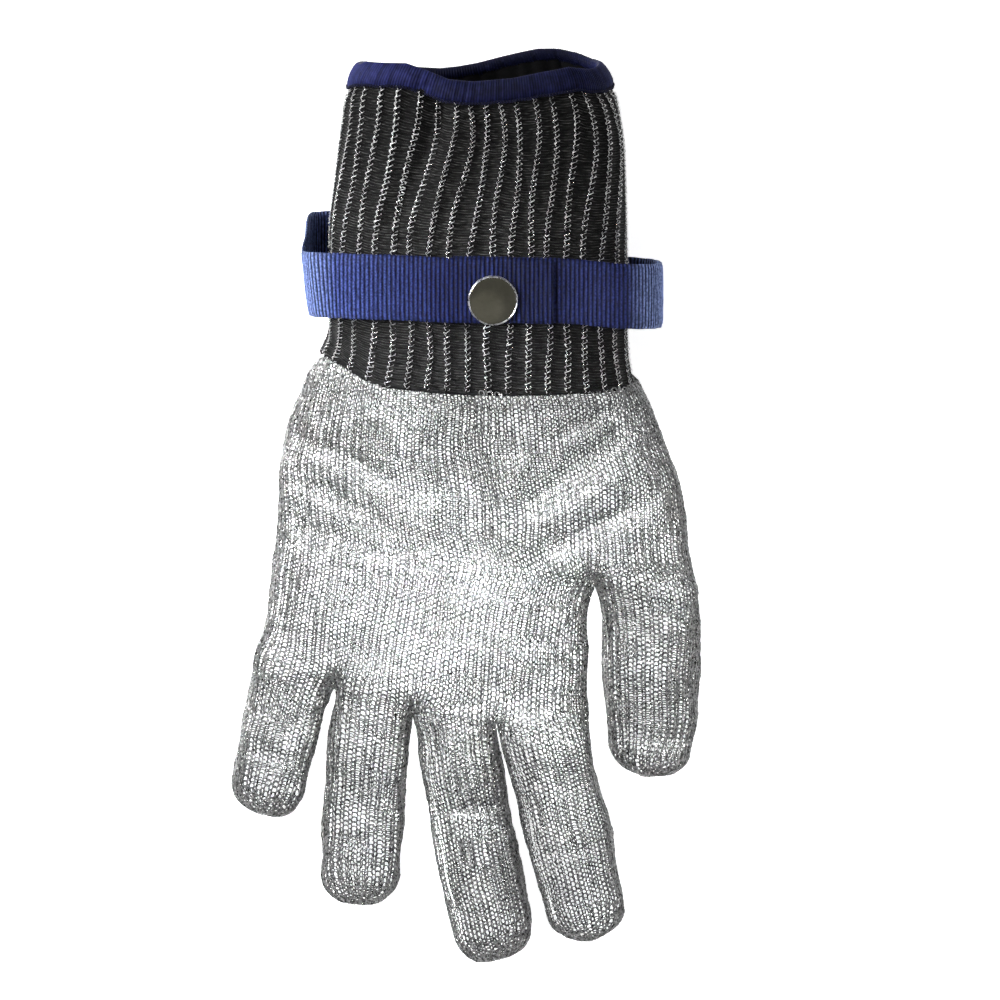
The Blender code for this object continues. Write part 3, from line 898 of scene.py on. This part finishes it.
def build_cuff(surface, ground):
    """The black rib knit, a closed shell of crests and hollows crossed by bars of yarn."""
    columns = RIBS * RIB_COLUMNS
    rows = int((CUFF_END - CUFF_START) / COURSE * 4)
    y = np.linspace(CUFF_START, CUFF_END, rows)[:, None] * np.ones((1, columns))
    base = (np.arange(columns) / columns)[None, :] * np.ones((rows, 1))
    phase = base * RIBS * 2 * np.pi
    crest = np.clip(0.35 + 0.75 * np.cos(phase), 0.0, 1.0)
    stagger = 0.35 * np.sin(phase) + 0.5 * np.sin(base * RIBS * np.pi)
    bars = np.abs(np.cos(np.pi * y / COURSE + stagger))
    lift = -1.05 + 0.8 * crest + 0.5 * bars * (1 - crest) + fold_height(base, y) - tuck(y)
    lift += RANDOM.normal(0.0, 0.05, lift.shape)
    fraction = base + rib_lean(base, y)
    outer, _ = surface.at(fraction, y, lift)
    shade = RANDOM.uniform(0.3, 1.0, lift.shape)
    # Painted highlight: the tone is raised on the bars of yarn in the hollows, with random variation.
    tone = 0.12 + 0.88 * bars ** 3 * shade * (0.4 + 0.6 * (1 - crest))
    # Painted shade: the knit is darkened towards the seam with the hand.
    tone *= 0.5 + 0.5 * rise(y, 58.0, 14.0)
    few = np.linspace(rows - 1, 0, 50).astype(int)
    inner_lift = 0.25 * crest[few] + fold_height(base[few], y[few]) - 1.75
    inner, _ = surface.at(fraction[few], y[few], inner_lift)
    closed = np.concatenate([outer, inner], 0)
    tone = np.concatenate([tone, 0.1 + 0 * inner_lift], 0)
    faces = grid_faces(rows + len(few), columns, wrap_rows=True)
    body = cuff_piece("cuff_rib_knit", [(closed.reshape(-1, 3), faces)], ground, tone)
    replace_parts(body, "rib_cuff")


def chain_weight(x, y):
    """How thick the chains are: thicker at the upper left, most of all on its fold."""
    weight = 1.0 + 0.22 * smooth_step((12.0 - x) / 30.0) * rise(y, 72.0, 16.0)
    weight -= 0.12 * smooth_step((66.0 - y) / 10.0)
    high = rise(y, 84.0, 12.0)
    return weight + 0.4 * high * bell(x, -24.0, 6.0) - 0.3 * high * bell(x, -36.0, 4.0)


def build_chains(surface, material):
    """The steel chains on the ribs' crests: two wires to a rib, in two pieces."""
    spans = {"lower": (CUFF_START + 0.4, CHAIN_SPLIT), "upper": (CHAIN_SPLIT, CUFF_END - 5.8)}
    for label, (low, high) in spans.items():
        steps = np.arange(int((high - low) / COURSE * CHAIN_POINTS)) / CHAIN_POINTS
        along = low + steps * COURSE
        paths, normals = [], []
        for rib in range(RIBS):
            centre = np.full_like(along, rib / RIBS)
            turn = 2 * np.pi * steps + RANDOM.uniform(-0.5, 0.5)
            tooth = RANDOM.uniform(0.5, 0.9)
            for hand, offset, reach, high in ((-1, 0.25, 0.25, 0.2), (1, 0.5, tooth, 0.45)):
                swing = offset * hand + reach * np.sin(turn)
                depth = -0.05 + high * np.cos(turn) * hand
                fraction = centre + swing / CUFF_ROUND + rib_lean(centre, along)
                lift = depth + fold_height(centre, along) - 0.1 - tuck(along)
                place, normal = surface.at(fraction[None], along[None], lift[None])
                paths.append(place[0])
                normals.append(normal[0])
        paths = np.stack(paths) + RANDOM.normal(0.0, 0.035, (len(paths), len(steps), 3))
        weight = chain_weight(paths[..., 0], paths[..., 1])
        thickness = CHAIN_RADIUS * weight * RANDOM.uniform(0.15, 1.35, paths.shape[:2])
        chains = tubes(paths, np.stack(normals), thickness, closed=False)
        cuff_piece(f"cuff_steel_chains_{label}", [chains], material)


def build_cross_yarns(surface, material):
    """The yarns across the hollows between the ribs, two to a course."""
    courses = int((CUFF_END - 4.0 - CUFF_START) / COURSE * 2)
    t = np.linspace(0.0, 1.0, 5)
    rib, course = np.meshgrid(np.arange(RIBS), np.arange(courses), indexing="ij")
    rib, course = rib.ravel()[:, None], course.ravel()[:, None]
    tilt = RANDOM.normal(0.0, 0.2, rib.shape) - 0.55 + 0.3 * np.sin(rib * 1.7)
    y = CUFF_START + 1.2 + course * COURSE / 2 + 0.35 * np.sin(rib * 2.3)
    y = y + tilt * (t - 0.5) - 0.25 * np.sin(np.pi * t)
    fraction = (rib + 0.12 + 0.76 * t) / RIBS + 0 * y
    lift = -0.25 - 0.32 * np.sin(np.pi * t) + RANDOM.normal(0.0, 0.06, rib.shape)
    lift = lift + fold_height(fraction, y) - tuck(y)
    yarns = tubes(*surface.at(fraction + rib_lean(fraction, y), y, lift), CROSS_RADIUS, closed=False)
    shade = RANDOM.uniform(0.0, 1.0, (len(y), 5)).repeat(4, 1) ** 2.2
    # Painted shade: the yarns are darkened towards the seam with the hand.
    shade *= 0.5 + 0.5 * rise(y.repeat(4, 1), 58.0, 14.0)
    cuff_piece("cuff_cross_yarns", [yarns], material, shade)


def build_seam(surface, thread):
    """The ridge of black overlock thread that joins the cuff to the hand."""
    around = SEAM_STRANDS * SEAM_TURNS
    fraction = np.arange(around) / around
    wave = 0.5 * np.sin(2 * np.pi * fraction * 3)
    strands = []
    for turn in range(SEAM_STRANDS):
        angle = 2 * np.pi * (fraction * SEAM_TURNS + turn / SEAM_STRANDS)
        y = SEAM_LINE + 0.7 * np.sin(angle) + wave
        strands.append(surface.at(fraction[None], y[None], (-0.75 + 0.5 * np.cos(angle))[None]))
    paths, normals = (np.concatenate(part) for part in zip(*strands))
    core = surface.at(fraction[None], (SEAM_LINE + wave)[None], np.full_like(fraction, -1.0)[None])
    parts = [tubes(paths, normals, SEAM_RADIUS), tubes(*core, CORE_RADIUS, sides=8)]
    seam = cuff_piece("cuff_seam_threads", parts, thread, 0.3)
    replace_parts(seam, "cuff_seam")


# The binding's section: y, and height off the cuff's face.
BINDING = [
    (124.3, -0.7), (124.6, -0.2), (125.6, 0.15), (127.4, 0.3), (129.2, 0.25), (130.4, 0.0), (131.0, -0.4),
    (131.1, -0.8), (130.9, -1.5), (130.3, -2.0), (129.4, -2.2), (128.5, -2.15), (127.9, -1.9), (127.6, -1.5),
]
BINDING_THREADS = 236
# How pale the binding is round the mouth, as painted light: a painted highlight at the left, painted shade
# in the dip and at the back.
BINDING_PAINTED_LIGHT = (
    [0.0, 0.12, 0.2, 0.3, 0.4, 0.5, 0.6, 0.9, 1.0],
    [1.4, 1.25, 0.6, 0.28, 0.45, 0.6, 0.03, 0.03, 1.4],
)
EDGE_STITCHES = 210
STITCH_POINTS = 6
STITCH_RADIUS = 0.22


def build_binding(surface, thread, stitch):
    """The overlocked edge: slanted threads wrapped over the cuff's mouth, and a line of chain stitch."""
    around = BINDING_THREADS * 4
    fraction = (np.arange(around) / around)[None, :]
    outline = np.array(BINDING)
    y = outline[:, :1] * np.ones((1, around))
    side = outline[:, 1:]
    ridge_height = np.abs(np.sin(np.pi * fraction * BINDING_THREADS))
    thickness = RANDOM.normal(0.0, 0.05, (1, BINDING_THREADS)).repeat(4, 1)
    lift = side + np.sign(side + 0.8) * (0.34 * ridge_height - 0.2 + thickness)
    lift += fold_height(fraction + 0 * y, y)
    points, _ = surface.at(fraction + (y - 127.0) * 0.00085, y, lift)
    # Painted light: the tone is a painted highlight on each thread's crest and painted shade between
    # threads, varies at random from thread to thread, and takes the painted light round the mouth.
    tone = (0.1 + 0.7 * ridge_height ** 2 + 3.0 * thickness + 0 * y) * np.interp(fraction, *BINDING_PAINTED_LIGHT)
    parts = [(points.reshape(-1, 3), grid_faces(len(BINDING), around, True))]
    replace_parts(cuff_piece("edge_binding_threads", parts, thread, tone), "edge_binding")

    t = np.arange(EDGE_STITCHES * STITCH_POINTS) / STITCH_POINTS
    fraction = t / EDGE_STITCHES
    y = 124.2 + 0.35 * np.sin(2 * np.pi * t) + 0.15 * np.sin(2 * np.pi * t / 7)
    lift = -0.05 + 0.2 * np.cos(2 * np.pi * t) + fold_height(fraction, y)
    line = tubes(*surface.at(fraction[None], y[None], lift[None]), STITCH_RADIUS, sides=5)
    cuff_piece("edge_chain_stitch", [line], stitch, 0.6)


# ---- the strap and its snap

# Centre lines of the strap: x, z and the y of its middle.
BAND_PATH = [
    (-51, 31, 67.2), (-50.9, 25, 70), (-50.5, 12, 75.4), (-47.2, 4, 75.5), (-40.4, 0.85, 74.8),
    (-32, 0.68, 73.2), (1, 0.68, 67.8), (34, 0.68, 62.4), (42.5, 0.9, 61.5), (49.2, 3.9, 61.2),
    (53.8, 12.5, 61.9), (55, 25, 62.8), (51.4, 36, 63.8), (42, 43, 65.2), (28, 45.3, 66.7),
    (13, 45.55, 67.4), (5, 45.55, 67.5), (-7, 45.55, 67.5),
]
FLAP_PATH = [
    (-51, 31, 67.2), (-48.2, 38.6, 67.7), (-40.2, 43.6, 68.3), (-34, 46.3, 68.4), (-25, 47.6, 68.2),
    (-14, 48.8, 67.9), (-3.5, 49.2, 67.7), (13.5, 48.9, 67.4), (22.8, 47.4, 67.2),
]
STRAP_WIDTH = 19.5
STRAP_THICKNESS = 1.2
# Pitch of the webbing's cross ribs, points along each, and points across each face.
RIB_PITCH = 1.33
RIB_POINTS = 6
FACE_POINTS = 17
SNAP_CENTRE = (4.8, 64.85)
# Outlines of the snap's cap: radius and z, from the axis out and back.
CAP_FACE = [
    (0.01, 51.62), (1.5, 51.612), (3.0, 51.595), (4.2, 51.575), (5.4, 51.545), (6.4, 51.515), (6.9, 51.497),
    (6.97, 51.494), (7.0, 51.45), (7.0, 50.4), (3.0, 50.2), (0.01, 50.2),
]
CAP_RIM = [
    (6.78, 51.35), (6.97, 51.5), (7.04, 51.58), (7.16, 51.6), (7.3, 51.5), (7.4, 51.25), (7.44, 50.9),
    (7.42, 50.4), (7.2, 49.95), (6.8, 49.8), (2.4, 49.75), (2.4, 48.62), (1.8, 48.6), (1.8, 50.1),
    (6.78, 50.3), (6.78, 51.35),
]
# The webbing's blue along x, from the left end to the right one, with painted highlights at the two bends
# and painted shade along the middle.
WEBBING_SPAN = (-0.055, 0.062)
WEBBING_BLUE_AND_PAINTED_LIGHT = [
    (0.0, (0.06, 0.07, 0.2)), (0.04, (0.25, 0.34, 0.70)), (0.14, (0.047, 0.071, 0.25)),
    (0.42, (0.010, 0.017, 0.092)), (0.62, (0.011, 0.017, 0.078)), (0.88, (0.030, 0.043, 0.17)),
    (0.96, (0.38, 0.50, 1.0)),
]


def smooth_line(points, steps):
    """A Catmull-Rom line through the points."""
    padded = np.array([points[0]] + points + [points[-1]])
    t = (np.arange(steps) / steps)[:, None]
    line = []
    for p0, p1, p2, p3 in zip(padded, padded[1:], padded[2:], padded[3:]):
        line.append(
            p0 * (-0.5 * t + t * t - 0.5 * t ** 3)
            + p1 * (1.0 - 2.5 * t * t + 1.5 * t ** 3)
            + p2 * (0.5 * t + 2.0 * t * t - 1.5 * t ** 3)
            + p3 * (-0.5 * t * t + 0.5 * t ** 3)
        )
    line.append(padded[-1:])
    return np.concatenate(line)


def webbing(name, path, outward, material):
    """Woven webbing with raised cross ribs along a centre line. Returns the piece and its length."""
    line = smooth_line(path, 40)
    run = np.concatenate([[0.0], np.cumsum(np.linalg.norm(np.diff(line[:, :2], axis=0), axis=1))])
    length = run[-1]
    at = np.linspace(0.0, length, int(round(length / RIB_PITCH)) * RIB_POINTS + 1)
    line = np.stack([np.interp(at, run, line[:, i]) for i in range(3)], -1)
    tangent = np.gradient(line[:, :2], axis=0)
    tangent /= np.linalg.norm(tangent, axis=1, keepdims=True)
    up = outward * np.stack([-tangent[:, 1], tangent[:, 0]], -1)
    rib = np.abs(np.sin(np.pi * at / RIB_PITCH)) ** 0.8
    half_width = STRAP_WIDTH / 2
    across = np.concatenate([np.linspace(-1, 1, FACE_POINTS), np.linspace(1, -1, FACE_POINTS)])
    face = np.repeat([1.0, -1.0], FACE_POINTS)
    edge = 1.0 - np.abs(across) ** 10
    bow = 0.12 * np.cos(across * np.pi * 1.5)
    count = len(across)
    at, rib, line, up = at[:, None], rib[:, None], line[:, None], up[:, None]
    weave = 0.055 * np.cos(np.pi * (across * half_width / 0.55 + np.arange(len(at))[:, None] / RIB_POINTS))
    thick = (STRAP_THICKNESS / 2 - 0.22) * (0.42 + 0.58 * edge) + (0.46 * rib - 0.2 + weave) * edge
    offset = face * thick + bow * 0.3
    # Painted light: the tone makes the raised ribs and weave paler as painted highlights and the hollows
    # between them darker as painted shade.
    tone = 0.95 * rib ** 4 + 1.6 * weave
    slack = 0.1 * np.sin(at * 0.21) + 0.05 * np.sin(at * 0.83)
    width = half_width * (1.0 + 0.006 * (rib - 0.5)) + 0.05 * slack
    leaning = smooth_step((-38.0 - line[..., 0]) / 12.0) * rise(line[..., 1], 20.0, 10.0)
    x = line[..., 0] + up[..., 0] * offset - 0.11 * half_width * across * leaning
    z = line[..., 1] + up[..., 1] * offset
    rings = np.stack([x, line[..., 2] + across * width + slack, z], -1)
    ends = [
        (base + i, base + i + 1, base + count - 2 - i, base + count - 1 - i)
        for base in (0, (len(at) - 1) * count)
        for i in range(FACE_POINTS - 1)
    ]
    faces = np.concatenate([grid_faces(len(at), count), np.array(ends)])
    points = raised(rings.reshape(-1, 3), WEBBING_FLOOR)
    return make_object(name, points, faces, material, tone), length


def lathe(name, profile, material, segments=96):
    """A turned piece about the snap's axis. Profile points are radius and z."""
    profile = np.array(profile, float)
    angle = 2 * np.pi * np.arange(segments) / segments
    x = SNAP_CENTRE[0] + profile[:, :1] * np.cos(angle)
    y = SNAP_CENTRE[1] + profile[:, :1] * np.sin(angle)
    z = profile[:, 1:] * np.ones(segments)
    points = np.stack([x, y, z], -1).reshape(-1, 3)
    return make_object(name, points, grid_faces(len(profile), segments), material)


def webbing_material():
    """Royal blue webbing with fine slanted flecks, painted highlights on its ribs and bends, and painted
    shade in its hollows and middle.
    """
    look = Look("blue_webbing")
    where, split, along = look.node("TexCoord"), look.node("SeparateXYZ"), look.node("MapRange")
    put(along, From_Min=WEBBING_SPAN[0], From_Max=WEBBING_SPAN[1])
    look.links.new(where.outputs["Object"], split.inputs["Vector"])
    look.links.new(split.outputs["X"], along.inputs["Value"])
    # Painted light: the blue is paler at the bends as a painted highlight and darker along the middle as
    # painted shade; the tone ramp below adds painted shade between the ribs.
    colour = look.ramp(along.outputs["Result"], WEBBING_BLUE_AND_PAINTED_LIGHT)
    shaded = look.multiply(colour, look.tone_ramp(grey(0.07), grey(1.0)))
    fleck = look.noise_ramp(1900.0, [(0.4, grey(0.42)), (0.6, grey(1.0))], stretch=(1.0, 0.8, 1.0))
    look.feed("Base Color", look.multiply(shaded, fleck))
    look.bump(2400.0, 0.5, 0.0002)
    put(look.shader, Roughness=0.62, Specular_IOR_Level=0.08)
    return look.material


def build_strap(fabric, thread, nickel, rim_nickel):
    band, band_length = webbing("strap_band_webbing", BAND_PATH, -1.0, fabric)
    flap, flap_length = webbing("strap_flap_webbing", FLAP_PATH, 1.0, fabric)
    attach(band, "glove")
    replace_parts(band, "strap_band")
    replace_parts(flap, "strap_flap")
    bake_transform(flap)

    face = lathe("snap_cap_face", CAP_FACE, nickel)
    rim = lathe("snap_cap_rim", CAP_RIM, rim_nickel)
    for piece in (face, rim):
        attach(piece, "strap_end")
    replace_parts(rim, "snap_cap")
    for name in ("snap_socket", "snap_stud", "snap_eyelet"):
        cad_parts[name].material_slots[0].material = rim_nickel
    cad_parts["strap_tack"].material_slots[0].material = thread


def main():
    build_stage()
    wire = steel_wire("steel_wire", 0.085, 0.35, 0.22, 0.4)
    chain = steel_wire("cuff_steel", 0.5, 1.0, 0.2, 0.4)
    black = yarn("black_yarn", (0.002, 0.002, 0.0025), (0.014, 0.014, 0.0135), 0.6, 1800.0)
    cross = yarn("cross_yarn", (0.003, 0.003, 0.003), (0.10, 0.10, 0.097), 0.45, 900.0)
    blue = yarn("blue_thread", (0.004, 0.005, 0.02), (0.032, 0.038, 0.155), 0.5, 500.0)
    stitch = yarn("edge_stitch", (0.004, 0.004, 0.012), (0.02, 0.022, 0.06), 0.5, 700.0)
    nickel = polished_metal("black_nickel", [(0.30, 0.285, 0.21), (0.36, 0.34, 0.26)], 0.06, 0.12, 120.0)
    rim_nickel = polished_metal("bright_nickel", [(0.42, 0.42, 0.43), (0.55, 0.55, 0.55)], 0.24, 0.34, 300.0)

    surface = CuffSurface()

    def wrist_y(columns):
        fraction = ((np.arange(columns) + 0.5) / columns)[None]
        place, _ = surface.at(fraction, np.full_like(fraction, SEAM_LINE - 0.5), np.zeros_like(fraction))
        return place[..., 1]

    build_hand(wire, wrist_y)
    build_cuff(surface, black)
    build_cross_yarns(surface, cross)
    build_chains(surface, chain)
    build_seam(surface, black)
    build_binding(surface, blue, stitch)
    build_strap(webbing_material(), blue, nickel, rim_nickel)


main()
